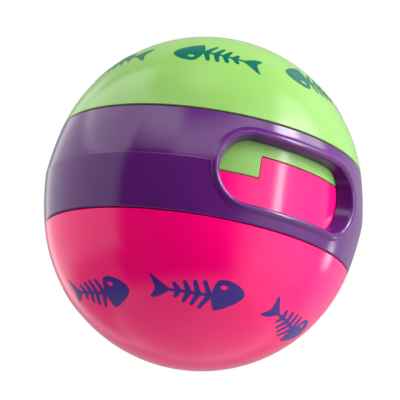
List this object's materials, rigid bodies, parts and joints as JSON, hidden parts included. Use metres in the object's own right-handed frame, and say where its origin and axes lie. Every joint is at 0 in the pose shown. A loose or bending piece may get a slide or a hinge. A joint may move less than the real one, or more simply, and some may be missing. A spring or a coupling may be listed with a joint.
{
  "type": "treat dispensing ball",
  "caption": "Ball for a cat that drops treats: moulded halves plug into a band with a rounded window, and a twist opens a slot behind the window.",
  "frame": {"origin": "middle of the ball, where its axis crosses the plane halfway up the band", "axes": "+Z along the ball's axis, towards the green cap; -Y out through the middle of the window; +X to the right of the window, seen from in front with the green cap up"},
  "size_m": [0.0764, 0.0757, 0.08],
  "materials": {
    "green_plastic": "glossy moulded plastic with a ring of fish bones printed in teal ink",
    "purple_plastic": "glossy moulded plastic",
    "pink_plastic": "glossy moulded plastic with a ring of fish bones printed in indigo ink"
  },
  "bodies": {
    "band": {"window_band": "purple_plastic"},
    "upper": {"upper_half": "green_plastic"},
    "lower": {"lower_half": "pink_plastic"}
  },
  "joints": [
    {"name": "upper_pull", "type": "slide", "parent": "band", "child": "upper", "axis": [0, 0, 1], "range_m": [0, 0.06]},
    {"name": "lower_twist", "type": "hinge", "parent": "band", "child": "lower", "pos_m": [0, 0, 0], "axis": [0, 0, 1], "range_deg": [0, 60]}
  ]
}
